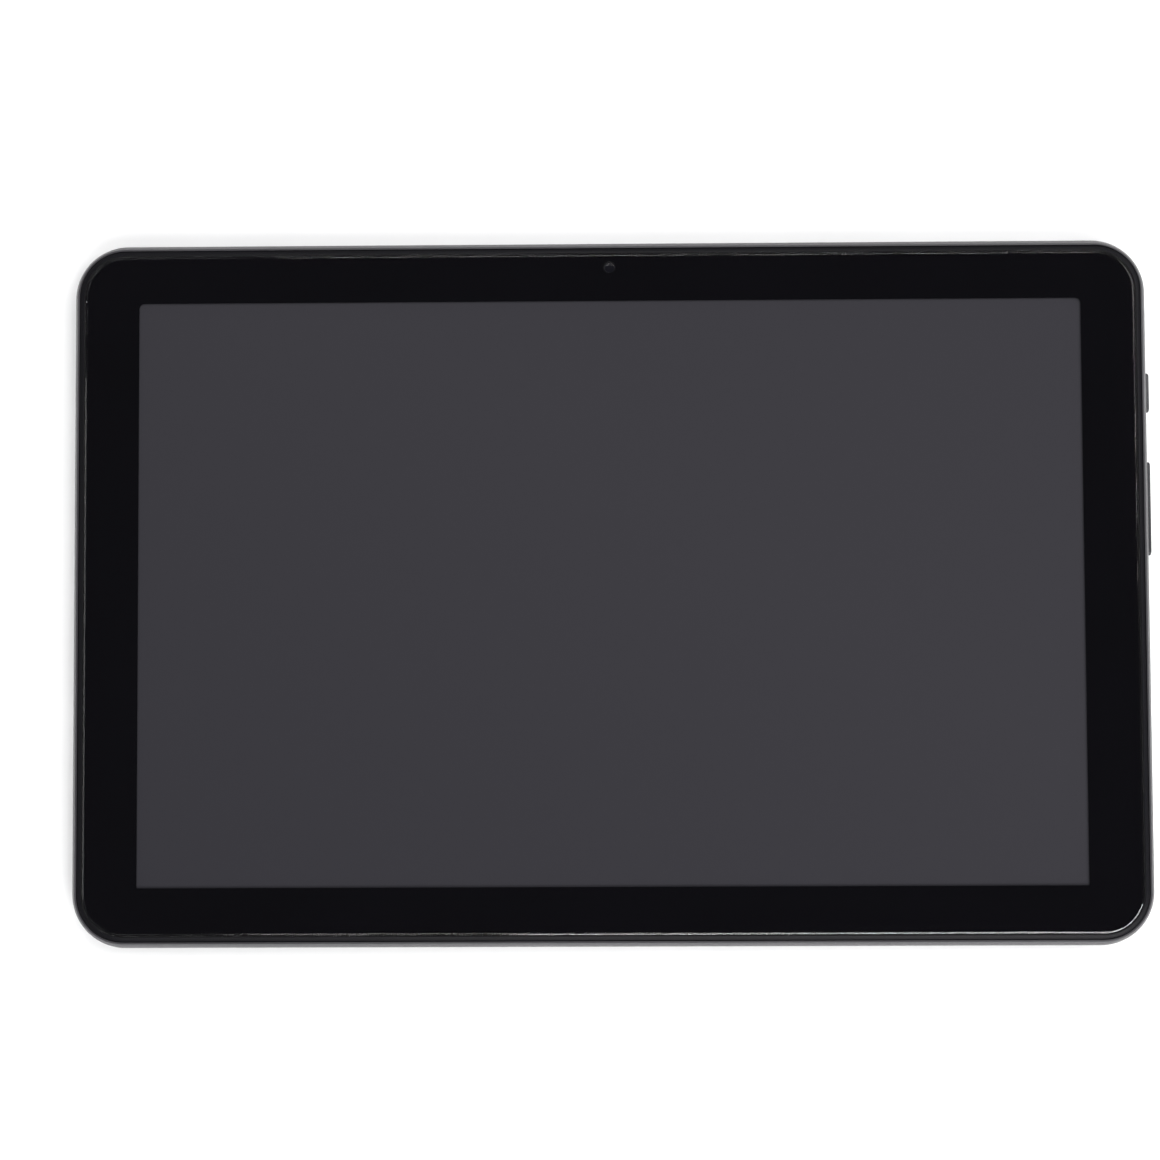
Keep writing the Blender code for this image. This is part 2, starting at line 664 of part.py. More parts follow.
def make_card_slot():
    """The tray with its face flush in the side, the cage that guides it, and the lever that frees it."""
    tray = prism("card_tray", tray_outline(0.0), EDGE - 0.0021, EDGE + 0.002, "Y", "housing")
    body = loft("tray_face_envelope", [(body_outline(inset), z) for inset, z in outer_sections()])
    combine(tray, body, "INTERSECT")
    carrier = block("carrier", (0.0322, 0.0605, 0.0027), (0.0494, EDGE - 0.0015, 0.0039))
    combine(tray, carrier, "UNION")
    combine(tray, block("card_recess", (0.0332, 0.0625, 0.0030), (0.0484, 0.0737, 0.0045)))
    combine(tray, block("card_window", (0.0350, 0.0645, 0.0020), (0.0466, 0.0717, 0.0045)))
    combine(tray, cylinder("eject_pinhole", (EJECT_X, EDGE, WIDEST_Z), 0.00045, 0.006, "Y", sides=10))
    move_origin(tray, (TRAY_X, EDGE, WIDEST_Z))
    cage = block("card_cage", (0.0314, 0.0540, 0.00225), (0.0519, 0.0786, 0.00425), "steel")
    combine(cage, block("cage_inside", (0.03165, 0.0543, 0.0010), (0.05165, 0.0800, 0.00405)))
    low = (EJECT_X - 0.0004, 0.0600, 0.0029)
    high = (EJECT_X + 0.0004, 0.0787, 0.0037)
    rod = block("eject_rod", low, high, "steel")
    move_origin(rod, (EJECT_X, 0.0787, WIDEST_Z))
    lever_outline = [
        (0.0385, 0.0568),
        (0.0513, 0.0568),
        (0.0513, 0.0597),
        (0.0503, 0.0597),
        (0.0485, 0.0584),
        (0.0405, 0.0584),
        (0.0400, 0.0590),
        (0.0385, 0.0590),
    ]
    lever = prism("eject_lever", lever_outline, 0.0029, 0.0036, finish="steel")
    combine(lever, cylinder("lever_hole", (*LEVER_PIVOT, WIDEST_Z), 0.0004, 0.004, sides=10))
    move_origin(lever, (*LEVER_PIVOT, WIDEST_Z))


def make_antenna_cable():
    """Thin coaxial cable from the antenna to the main board."""
    route = (
        (-0.0850, 0.0660, 0.0022),
        (-0.0820, 0.0600, 0.0022),
        (-0.0770, 0.0560, 0.0022),
        (-0.0700, 0.0545, 0.0022),
        (0.0150, 0.0545, 0.0022),
        (0.0220, 0.0560, 0.0024),
        (0.0260, 0.0600, 0.0028),
        (0.0280, 0.0660, 0.0028),
    )
    curve = bpy.data.curves.new("antenna_cable", "CURVE")
    curve.dimensions = "3D"
    curve.bevel_depth = 0.0004
    curve.bevel_resolution = 1
    curve.use_fill_caps = True
    spline = curve.splines.new("POLY")
    spline.points.add(len(route) - 1)
    for point, place in zip(spline.points, route):
        point.co = (*place, 1.0)
    cable = bpy.data.objects.new("antenna_cable", curve)
    curve.materials.append(finish_material("antenna_cable", "plastic"))
    PARTS.objects.link(cable)
    cable.parent = ROOT


def main():
    make_rear_cover()
    make_mid_frame()
    make_cover_glass()
    make_display_layers()
    make_flexes()
    make_inner_blocks()
    make_boards()
    make_usb_receptacle()
    make_speakers()
    make_cameras()
    make_side_keys()
    make_card_slot()
    make_antenna_cable()


main()
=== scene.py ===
"""Looks of the tablet computer: fine housing, glass, keys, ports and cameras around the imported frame."""

import json
import math

import bmesh
import bpy
from mathutils import Euler, Matrix, Vector


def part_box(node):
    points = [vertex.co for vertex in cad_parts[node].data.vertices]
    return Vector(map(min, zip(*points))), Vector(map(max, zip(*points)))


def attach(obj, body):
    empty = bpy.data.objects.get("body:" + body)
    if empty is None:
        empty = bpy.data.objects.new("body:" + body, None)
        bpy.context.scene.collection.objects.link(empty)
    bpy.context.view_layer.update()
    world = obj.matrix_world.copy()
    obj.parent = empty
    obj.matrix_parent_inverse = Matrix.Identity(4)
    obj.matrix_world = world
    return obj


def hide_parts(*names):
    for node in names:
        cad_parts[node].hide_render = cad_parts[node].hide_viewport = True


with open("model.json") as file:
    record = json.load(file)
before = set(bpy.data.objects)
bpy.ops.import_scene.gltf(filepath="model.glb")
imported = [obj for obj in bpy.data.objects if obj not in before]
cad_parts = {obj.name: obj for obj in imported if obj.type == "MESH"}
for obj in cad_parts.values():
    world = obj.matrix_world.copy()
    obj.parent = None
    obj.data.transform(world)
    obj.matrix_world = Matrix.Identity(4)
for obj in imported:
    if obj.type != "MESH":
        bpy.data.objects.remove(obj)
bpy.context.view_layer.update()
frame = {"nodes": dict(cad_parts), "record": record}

COVER_LOW, COVER_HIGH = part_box("rear_cover")
GLASS_LOW, GLASS_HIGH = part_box("cover_glass")
FRAME_LOW, FRAME_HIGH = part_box("mid_frame")
BORDER_LOW, BORDER_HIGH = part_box("border_mask")

# Outline of the body, and the section of its side, as the CAD states them.
BODY_CORNER = 0.0125
CORNER_STEPS = 24
WIDEST_Z = 0.0033
BACK_INSET = 0.0034
UPPER_CURVE = 68.0
FLOOR_TOP = 0.0008
WALL_INSET = 0.00175
FLOOR_INSET = 0.0026
GLASS_INSET = GLASS_LOW.x - COVER_LOW.x
LIP_INSET = FRAME_LOW.x - COVER_LOW.x
LIP_OUTER_TOP = 0.0079
GLASS_POCKET_INSET = 0.00305
BOSS_BOTTOM = 0.00225
PLATE_BOTTOM = 0.0044
PLATE_TOP = 0.0050
SHELF_TOP = 0.0073

# The polished edge of the glass, from its steep start at the rim to its gentler end.
GLASS_BEVEL = 0.00034
BEVEL_STEEP = 26.0
BEVEL_GENTLE = 20.0
BEVEL_STEPS = 8

# Openings in the housing and the printed border.
RESET_HOLE_X = 0.0702
PORT_LENGTH = 0.0092
PORT_HEIGHT = 0.0034
REAR_CAMERA_HOLE = 0.0054
CAMERA_WINDOW = 0.0014

# The card tray's carrier, the recess for the card and the opening under it.
CARRIER_X = (0.0322, 0.0494)
CARRIER_Z = (0.0027, 0.0039)
RECESS_X = (0.0332, 0.0484)
RECESS_Y = (0.0625, 0.0737)
RECESS_CUT = (0.0470, 0.0722)
RECESS_FLOOR = 0.0030
OPENING_LOW = (0.0350, 0.0645)
OPENING_HIGH = (0.0466, 0.0717)

# The clear window in the printed border.
WINDOW_LENGTH = 0.2172
WINDOW_WIDTH = 0.1345
WINDOW_TOP_CORNER = 0.0013
WINDOW_BOTTOM_CORNER = 0.0002


# ---------------------------------------------------------------- mesh helpers


def link(name, bm):
    bm.normal_update()
    bmesh.ops.recalc_face_normals(bm, faces=bm.faces)
    mesh = bpy.data.meshes.new(name)
    bm.to_mesh(mesh)
    bm.free()
    obj = bpy.data.objects.new(name, mesh)
    bpy.context.scene.collection.objects.link(obj)
    return obj


def rounded_rectangle(low, high, radii, steps=CORNER_STEPS):
    """Outline of a rectangle, anticlockwise from its top right corner, with a radius for each corner."""
    (x0, y0), (x1, y1) = low, high
    signs = ((1, 1), (-1, 1), (-1, -1), (1, -1))
    outline = []
    for quarter, (side_x, side_y) in enumerate(signs):
        radius = radii[quarter]
        x = (x1 if side_x > 0 else x0) - side_x * radius
        y = (y1 if side_y > 0 else y0) - side_y * radius
        for step in range(steps + 1):
            angle = math.pi / 2 * (quarter + step / steps)
            outline.append((x + radius * math.cos(angle), y + radius * math.sin(angle)))
    return outline


def body_outline(inset, steps=CORNER_STEPS):
    low = (COVER_LOW.x + inset, COVER_LOW.y + inset)
    high = (COVER_HIGH.x - inset, COVER_HIGH.y - inset)
    return rounded_rectangle(low, high, (BODY_CORNER - inset,) * 4, steps)


def slot_outline(centre, length, height, inset=0.0, steps=14):
    """Outline of a slot with half-round ends, moved inwards by an inset."""
    radius = height / 2 - inset
    outline = []
    for side, start in ((1, -math.pi / 2), (-1, math.pi / 2)):
        x = centre[0] + side * (length / 2 - height / 2)
        for step in range(steps + 1):
            angle = start + math.pi * step / steps
            outline.append((x + radius * math.cos(angle), centre[1] + radius * math.sin(angle)))
    return outline


def circle(centre, radius, steps=48):
    turns = [2 * math.pi * step / steps for step in range(steps)]
    return [(centre[0] + radius * math.cos(a), centre[1] + radius * math.sin(a)) for a in turns]


AXES = {"X": lambda u, v, w: (w, u, v), "Y": lambda u, v, w: (u, w, v), "Z": lambda u, v, w: (u, v, w)}


def loft(name, sections, axis="Z"):
    """A solid through a row of outlines at their heights, closed by a face at each end."""
    bm = bmesh.new()
    rings = [[bm.verts.new(AXES[axis](u, v, w)) for u, v in outline] for outline, w in sections]
    for lower, upper in zip(rings, rings[1:]):
        for index in range(len(lower)):
            following = (index + 1) % len(lower)
            bm.faces.new((lower[index], lower[following], upper[following], upper[index]))
    bm.faces.new(rings[0])
    bm.faces.new(rings[-1])
    return link(name, bm)


def prism(name, outline, start, end, axis="Z"):
    return loft(name, [(outline, start), (outline, end)], axis)


def block(name, low, high):
    low, high = Vector(low), Vector(high)
    bm = bmesh.new()
    bmesh.ops.create_cube(bm, size=1.0)
    bmesh.ops.scale(bm, vec=high - low, verts=bm.verts)
    bmesh.ops.translate(bm, vec=(low + high) / 2, verts=bm.verts)
    return link(name, bm)


def combine(target, tool, operation="DIFFERENCE"):
    """Cuts the tool from the target, or joins or intersects them, and removes the tool."""
    boolean = target.modifiers.new(tool.name, "BOOLEAN")
    boolean.operation = operation
    boolean.solver = "EXACT"
    boolean.object = tool
    graph = bpy.context.evaluated_depsgraph_get()
    mesh = bpy.data.meshes.new_from_object(target.evaluated_get(graph))
    target.modifiers.clear()
    old = target.data
    target.data = mesh
    mesh.name = target.name
    bpy.data.meshes.remove(old)
    bpy.data.objects.remove(tool)


def soften(obj, width, segments=2, angle=35.0):
    """Rounds the sharp edges and shades the piece smooth."""
    if width:
        bevel = obj.modifiers.new("edge", "BEVEL")
        bevel.width = width
        bevel.segments = segments
        bevel.limit_method = "ANGLE"
        bevel.angle_limit = math.radians(angle)
        bevel.miter_outer = "MITER_ARC"
    obj.data.shade_smooth()
    weighted = obj.modifiers.new("normals", "WEIGHTED_NORMAL")
    weighted.keep_sharp = True
    weighted.weight = 80


# ------------------------------------------------------------------- materials


class Nodes:
    """A material's node tree, with short calls for the nodes that the finishes share."""

    def __init__(self, name):
        self.material = bpy.data.materials.new(name)
        self.material.use_nodes = True
        self.tree = self.material.node_tree
        self.shader = self.tree.nodes["Principled BSDF"]
        self.place = self.tree.nodes.new("ShaderNodeTexCoord").outputs["Object"]

    def add(self, kind, **inputs):
        node = self.tree.nodes.new(kind)
        for key, value in inputs.items():
            socket = node.inputs[key.replace("_", " ")]
            if isinstance(value, bpy.types.NodeSocket):
                self.tree.links.new(value, socket)
            else:
                socket.default_value = value
        return node

    def noise(self, scale, detail=2.0, place=None):
        node = self.add("ShaderNodeTexNoise", Vector=place or self.place, Scale=scale, Detail=detail)
        return node.outputs["Fac"]

    def ramp(self, factor, stops):
        node = self.add("ShaderNodeValToRGB", Fac=factor)
        elements = node.color_ramp.elements
        while len(elements) < len(stops):
            elements.new(0.5)
        for element, (position, colour) in zip(elements, stops):
            element.position = position
            element.color = (*colour, 1.0)
        return node.outputs["Color"]

    def spread(self, factor, low, high):
        node = self.add("ShaderNodeMapRange", Value=factor)
        node.inputs["From Min"].default_value = 0.3
        node.inputs["From Max"].default_value = 0.7
        node.inputs["To Min"].default_value = low
        node.inputs["To Max"].default_value = high
        return node.outputs["Result"]

    def bump(self, height, strength, distance):
        node = self.add("ShaderNodeBump", Height=height, Strength=strength, Distance=distance)
        self.tree.links.new(node.outputs["Normal"], self.shader.inputs["Normal"])

    def feed(self, name, value):
        if isinstance(value, bpy.types.NodeSocket):
            self.tree.links.new(value, self.shader.inputs[name])
        else:
            self.shader.inputs[name].default_value = value


def shade(colour, factor):
    return tuple(min(1.0, channel * factor) for channel in colour)


def grained(
    name,
    colour,
    roughness,
    metallic=0.0,
    grain=2600.0,
    relief=0.000012,
    strength=0.35,
    vary=0.12,
    specular=0.5,
):
    """Moulded or painted surface: fine grain in relief, a slow drift of colour, uneven gloss."""
    nodes = Nodes(name)
    drift = nodes.noise(45.0, 3.0)
    fine = nodes.noise(grain, 3.0)
    stops = ((0.3, shade(colour, 1 - vary)), (0.7, shade(colour, 1 + vary)))
    nodes.feed("Base Color", nodes.ramp(drift, stops))
    nodes.feed("Roughness", nodes.spread(fine, roughness - 0.06, roughness + 0.06))
    nodes.feed("Metallic", metallic)
    nodes.feed("Specular IOR Level", specular)
    nodes.bump(fine, strength, relief)
    return nodes.material


def clear(name, ior, smudge):
    """Clear glass or film, with faint smudges that dull its gloss."""
    nodes = Nodes(name)
    marks = nodes.noise(60.0, 6.0)
    nodes.feed("Base Color", (1.0, 1.0, 1.0, 1.0))
    nodes.feed("Transmission Weight", 1.0)
    nodes.feed("IOR", ior)
    nodes.feed("Roughness", nodes.spread(marks, 0.0, smudge))
    return nodes.material


def brushed(name, colour, roughness):
    """Rolled sheet metal: streaks along X."""
    nodes = Nodes(name)
    mapping = nodes.add("ShaderNodeMapping", Vector=nodes.place, Scale=(0.04, 1.0, 1.0))
    streaks = nodes.noise(5200.0, 4.0, mapping.outputs["Vector"])
    stops = ((0.3, shade(colour, 0.86)), (0.7, shade(colour, 1.1)))
    nodes.feed("Base Color", nodes.ramp(streaks, stops))
    nodes.feed("Roughness", nodes.spread(streaks, roughness - 0.05, roughness + 0.08))
    nodes.feed("Metallic", 1.0)
    nodes.bump(streaks, 0.25, 0.000008)
    return nodes.material


def panel(name):
    """The unlit display: a dark grey with painted shade that darkens it towards its lower left corner."""
    nodes = Nodes(name)
    # Painted shade: a ramp across the panel lowers its colour towards the lower left corner.
    place = nodes.add("ShaderNodeVectorMath", Vector=nodes.place)
    place.operation = "DOT_PRODUCT"
    place.inputs[1].default_value = (2.2, 3.4, 0.0)
    painted_shade_sweep = nodes.add("ShaderNodeMapRange", Value=place.outputs["Value"])
    painted_shade_sweep.inputs["From Min"].default_value = -0.45
    painted_shade_sweep.inputs["From Max"].default_value = 0.10
    stops = ((0.0, (0.0258, 0.0251, 0.0299)), (1.0, (0.0299, 0.0289, 0.0339)))
    nodes.feed("Base Color", nodes.ramp(painted_shade_sweep.outputs["Result"], stops))
    nodes.feed("Roughness", nodes.spread(nodes.noise(900.0), 0.55, 0.65))
    nodes.feed("Specular IOR Level", 0.0)
    return nodes.material


MATERIALS = {
    "rear_cover": grained("housing_finish", (0.0255, 0.0240, 0.0285), 0.42),
    "mid_frame": grained("lip_finish", (0.0030, 0.0028, 0.0042), 0.42, grain=3200.0, specular=0.12),
    "cover_glass": clear("glass_finish", 1.5, 0.006),
    "border_ink": grained("ink_finish", (0.0009, 0.0008, 0.0016), 0.5, relief=0.000002, specular=0.0),
    "foam": grained("foam_finish", (0.015, 0.015, 0.016), 0.9, grain=5000.0, relief=0.00003),
    "clear_film": clear("film_finish", 1.04, 0.02),
    "lcd": panel("display_with_painted_shade"),
    "led_strip": grained("led_finish", (0.80, 0.79, 0.70), 0.35),
    "steel": brushed("steel_finish", (0.58, 0.58, 0.60), 0.26),
    "flex": grained("flex_finish", (0.32, 0.13, 0.02), 0.35, relief=0.000004),
    "circuit_board": grained("board_finish", (0.012, 0.055, 0.032), 0.38, relief=0.000006),
    "chip": grained("chip_finish", (0.018, 0.018, 0.02), 0.5, relief=0.000008),
    "graphite": grained("graphite_finish", (0.05, 0.05, 0.052), 0.45, relief=0.000008),
    "battery_pouch": grained("pouch_finish", (0.48, 0.49, 0.51), 0.32, 0.8, 900.0, 0.00003),
    "cable": grained("cable_finish", (0.02, 0.02, 0.021), 0.6),
    "black_plastic": grained("black_plastic_finish", (0.018, 0.018, 0.019), 0.48),
    "diaphragm": grained("diaphragm_finish", (0.5, 0.5, 0.51), 0.4),
    "dust_mesh": grained("mesh_finish", (0.016, 0.016, 0.016), 0.85, grain=6500.0, relief=0.00005),
    "lens": grained("lens_finish", (0.003, 0.003, 0.005), 0.06, relief=0.000001, specular=0.13),
    "trim": grained("trim_finish", (0.20, 0.20, 0.21), 0.25, metallic=1.0, relief=0.000003),
    "button": grained("button_finish", (0.026, 0.0252, 0.0285), 0.22),
    "tray": grained("tray_finish", (0.0255, 0.0240, 0.0285), 0.42),
}
GOLD = grained("contact_finish", (0.85, 0.60, 0.25), 0.25, metallic=1.0, relief=0.000002)
WINDOW = clear("window_finish", 1.5, 0.02)
SEAL = grained("seal_finish", (0.0035, 0.0035, 0.0038), 0.8, specular=0.1)


def dress(obj, slot):
    obj.data.materials.clear()
    obj.data.materials.append(MATERIALS[slot])


def let_light_through(obj):
    """A clear layer throws no shadow, and light on its way to the layers below passes it."""
    obj.visible_shadow = False
    obj.visible_diffuse = False


def place_piece(obj, body, slot, *nodes):
    """Gives a piece its finish, the body that it rides on and the nodes that it stands for."""
    dress(obj, slot)
    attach(obj, body)
    if nodes:
        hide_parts(*nodes)
    return obj


# --------------------------------------------------------------------- housing


def side_sections(top, upper_steps=18, lower_steps=14):
    """Insets and heights down the outside of the body, from the rim to the flat back."""
    sections = []
    for step in range(upper_steps + 1):
        z = top + (WIDEST_Z - top) * step / upper_steps
        sections.append((UPPER_CURVE * (z - WIDEST_Z) ** 2, z))
    for step in range(1, lower_steps + 1):
        angle = math.pi / 2 * step / lower_steps
        sections.append((BACK_INSET * (1 - math.cos(angle)), WIDEST_Z * (1 - math.sin(angle))))
    return sections


def make_housing():
    rim = COVER_HIGH.z
    inside = [(FLOOR_INSET, FLOOR_TOP), (WALL_INSET, FLOOR_TOP * 2), (WALL_INSET, rim)]
    sections = [(body_outline(inset), z) for inset, z in inside + side_sections(rim)]
    cover = loft("rear_housing", sections)
    side, edge = COVER_HIGH.x, COVER_HIGH.y
    for name, (centre, length) in KEYS.items():
        outline = slot_outline((centre, WIDEST_Z), length + 0.0003, KEY_HEIGHT + 0.0003)
        combine(cover, prism(f"{name}_hole", outline, side - 0.004, side + 0.004, "X"))
    shell_low, shell_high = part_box("usb_c_shell")
    port = ((shell_low.y + shell_high.y) / 2, (shell_low.z + shell_high.z) / 2)
    mouth = slot_outline(port, PORT_LENGTH, PORT_HEIGHT)
    combine(cover, prism("port_hole", mouth, -side - 0.004, -side + 0.004, "X"))
    tray = tray_outline(0.0001)
    combine(cover, prism("tray_hole", tray, edge - 0.004, edge + 0.004, "Y"))
    for number, node in enumerate(("microphone_top", "microphone_bottom")):
        low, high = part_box(node)
        x = (low.x + high.x) / 2
        y = edge if low.y > 0 else -edge
        hole = prism(f"sound_hole_{number}", circle((x, WIDEST_Z), 0.0005, 24), y - 0.003, y + 0.003, "Y")
        combine(cover, hole)
    reset = circle((RESET_HOLE_X, WIDEST_Z), 0.0003, 20)
    combine(cover, prism("reset_hole", reset, -edge - 0.003, -edge + 0.003, "Y"))
    trim_low, trim_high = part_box("rear_camera_trim")
    centre = ((trim_low.x + trim_high.x) / 2, (trim_low.y + trim_high.y) / 2)
    combine(cover, prism("camera_hole", circle(centre, REAR_CAMERA_HOLE, 64), -0.002, 0.002))
    for node in ("speaker_mesh_left", "speaker_mesh_right"):
        combine(cover, grille_tool(node))
    soften(cover, 0.00007)
    place_piece(cover, "housing", "rear_cover", "rear_cover")


def grille_tool(node):
    """One tool with a cylinder for each sound hole of a speaker."""
    low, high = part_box(node)
    centre = (low + high) / 2
    pitch, columns, rows = 0.0019, 8, 2
    bm = bmesh.new()
    for row in range(rows):
        for column in range(columns):
            made = bmesh.ops.create_cone(
                bm, cap_ends=True, segments=20, radius1=0.0005, radius2=0.0005, depth=0.003
            )
            x = centre.x + (column - (columns - 1) / 2) * pitch
            y = centre.y + (row - (rows - 1) / 2) * pitch
            bmesh.ops.translate(bm, verts=made["verts"], vec=(x, y, 0.0))
    return link(f"{node}_holes", bm)


def make_mid_frame():
    """The lip round the glass, with the shelf, the panel's pocket and the screw bosses under it."""
    top = FRAME_HIGH.z
    edge = 0.00012
    run = GLASS_POCKET_INSET - LIP_INSET - 0.0005
    insets = [
        (LIP_INSET, PLATE_BOTTOM),
        (LIP_INSET, LIP_OUTER_TOP - edge),
        (LIP_INSET + 0.3 * edge, LIP_OUTER_TOP - 0.3 * edge),
        (LIP_INSET + edge, LIP_OUTER_TOP + 0.3 * edge),
    ]
    for step in range(1, 7):
        share = step / 7
        crown = LIP_OUTER_TOP + 0.0002 + (top - LIP_OUTER_TOP - 0.0002) * share ** 0.8
        insets.append((LIP_INSET + 0.0005 + run * share, crown))
    insets += [
        (GLASS_POCKET_INSET - edge, top),
        (GLASS_POCKET_INSET - 0.3 * edge, top - 0.3 * edge),
        (GLASS_POCKET_INSET, top - edge),
        (GLASS_POCKET_INSET, SHELF_TOP),
    ]
    ring = loft("mid_frame_lip", [(body_outline(inset), z) for inset, z in insets])
    for number in range(1, 6):
        low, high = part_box(f"board_screw_{number}")
        centre = ((low.x + high.x) / 2, (low.y + high.y) / 2)
        boss = prism(f"boss_{number}", circle(centre, 0.0018, 32), BOSS_BOTTOM, PLATE_BOTTOM + 0.0003)
        combine(ring, boss, "UNION")
        combine(ring, prism(f"bore_{number}", circle(centre, 0.00075, 24), 0.0020, 0.0040))
    panel_low, panel_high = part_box("lcd_cell")
    gap = 0.0004
    low = (panel_low.x - gap, panel_low.y - gap, PLATE_TOP)
    combine(ring, block("pocket", low, (panel_high.x + gap, panel_high.y + gap, 0.010)))
    for name, low, high in frame_reliefs():
        combine(ring, block(name, low, high))
    soften(ring, 0.0)
    place_piece(ring, "housing", "mid_frame", "mid_frame")


def frame_reliefs():
    """Room in the mid frame for the key parts, the port, the display's ribbons and the front camera."""
    bracket_low, bracket_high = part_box("key_bracket")
    shell_low, shell_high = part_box("usb_c_shell")
    camera_low, camera_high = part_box("front_camera_module")
    side = COVER_HIGH.x
    reliefs = [
        (
            "key_relief",
            (bracket_low.x - 0.0003, bracket_low.y - 0.0010, PLATE_BOTTOM - 0.0004),
            (side - 0.0010, bracket_high.y + 0.0010, 0.0052),
        ),
        (
            "port_relief",
            (-side - 0.0010, shell_low.y - 0.0007, PLATE_BOTTOM - 0.0004),
            (shell_high.x + 0.0005, shell_high.y + 0.0007, 0.0049),
        ),
        (
            "camera_relief",
            (camera_low.x - 0.0003, camera_low.y - 0.0003, 0.0030),
            (camera_high.x + 0.0003, camera_high.y + 0.0003, 0.0090),
        ),
    ]
    panel_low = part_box("lcd_cell")[0]
    for node in ("display_flex", "touch_flex"):
        low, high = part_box(node)
        slot_low = (low.x - 0.0005, panel_low.y - 0.0018, PLATE_BOTTOM - 0.0004)
        slot_high = (high.x + 0.0005, panel_low.y - 0.0001, 0.0080)
        reliefs.append((f"{node}_slot", slot_low, slot_high))
    return reliefs


def make_glass():
    """The pane, with a polished bevel along its upper edge that is very slightly crowned."""
    insets = [(0.00005, GLASS_LOW.z), (0.0, GLASS_LOW.z + 0.00005), (0.0, GLASS_HIGH.z - 0.00022)]
    height = GLASS_HIGH.z - 0.00018
    inset = 0.00002
    insets.append((inset, height))
    run = GLASS_BEVEL / BEVEL_STEPS
    for step in range(BEVEL_STEPS):
        tilt = math.radians(BEVEL_STEEP - (BEVEL_STEEP - BEVEL_GENTLE) * step / (BEVEL_STEPS - 1))
        inset += run
        height += run * math.tan(tilt)
        insets.append((inset, height))
    insets.append((inset + 0.00006, GLASS_HIGH.z - 0.3 * (GLASS_HIGH.z - height)))
    insets.append((inset + 0.00014, GLASS_HIGH.z))
    glass = loft("glass_pane", [(body_outline(GLASS_INSET + inset, 32), z) for inset, z in insets])
    soften(glass, 0.0)
    place_piece(glass, "housing", "cover_glass", "cover_glass")
    let_light_through(glass)


def make_gasket():
    """The black seal between the glass and the lip."""
    outer = body_outline(GLASS_POCKET_INSET, 32)
    inner = body_outline(GLASS_INSET, 32)
    bottom, top = GLASS_LOW.z + 0.0001, GLASS_HIGH.z - 0.00045
    bm = bmesh.new()
    corners = ((outer, bottom), (outer, top), (inner, top), (inner, bottom))
    rings = [[bm.verts.new((x, y, z)) for x, y in outline] for outline, z in corners]
    for first, second in zip(rings, rings[1:] + rings[:1]):
        for index in range(len(first)):
            following = (index + 1) % len(first)
            bm.faces.new((first[index], first[following], second[following], second[index]))
    seal = link("glass_seal", bm)
    seal.data.materials.append(SEAL)
    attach(seal, "housing")


def make_border():
    corners = (WINDOW_TOP_CORNER, WINDOW_TOP_CORNER, WINDOW_BOTTOM_CORNER, WINDOW_BOTTOM_CORNER)
    half = (WINDOW_LENGTH / 2, WINDOW_WIDTH / 2)
    window = rounded_rectangle((-half[0], -half[1]), half, corners, 12)
    border = prism("printed_border", body_outline(GLASS_INSET + 0.00002), BORDER_LOW.z, BORDER_HIGH.z)
    combine(border, prism("window", window, BORDER_LOW.z - 0.001, BORDER_HIGH.z + 0.001))
    lens_low, lens_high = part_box("front_camera_lens")
    centre = ((lens_low.x + lens_high.x) / 2, (lens_low.y + lens_high.y) / 2)
    hole = circle(centre, CAMERA_WINDOW, 64)
    combine(border, prism("camera_window", hole, BORDER_LOW.z - 0.001, BORDER_HIGH.z + 0.001))
    place_piece(border, "housing", "border_ink", "border_mask")


# ------------------------------------------------------------ keys, tray, port

KEY_HEIGHT = 0.0022
KEYS = {}
for key_node, flange_reach in (("power_button", 0.0015), ("volume_button", 0.0012)):
    key_low, key_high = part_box(key_node)
    KEYS[key_node] = ((key_low.y + key_high.y) / 2, key_high.y - key_low.y - 2 * flange_reach)


def make_key(node, name, wall, nub_offsets):
    """A key with a pillowed face, the flange behind the wall and the nubs that press the switches."""
    centre, length = KEYS[node]
    low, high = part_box(node)
    flange_face = COVER_HIGH.x - wall
    rounding = 0.00035
    sections = [(slot_outline((centre, WIDEST_Z), length, KEY_HEIGHT), flange_face - 0.0004)]
    for step in range(7):
        angle = math.pi / 2 * step / 6
        outline = slot_outline((centre, WIDEST_Z), length, KEY_HEIGHT, rounding * (1 - math.cos(angle)))
        sections.append((outline, high.x - rounding * (1 - math.sin(angle))))
    key = loft(name, sections, "X")
    flange = block("flange", (flange_face - 0.0007, low.y, low.z), (flange_face, high.y, high.z))
    combine(key, flange, "UNION")
    for offset in nub_offsets:
        y = centre + offset
        nub_low = (low.x, y - 0.0006, WIDEST_Z - 0.0006)
        nub_high = (flange_face - 0.0005, y + 0.0006, WIDEST_Z + 0.0006)
        combine(key, block("nub", nub_low, nub_high), "UNION")
    soften(key, 0.0)
    place_piece(key, node, "button", node)


def tray_outline(gap):
    low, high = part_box("card_tray")
    corner = (0.0005 + gap,) * 4
    return rounded_rectangle((low.x - gap, low.z - gap), (high.x + gap, high.z + gap), corner, 6)


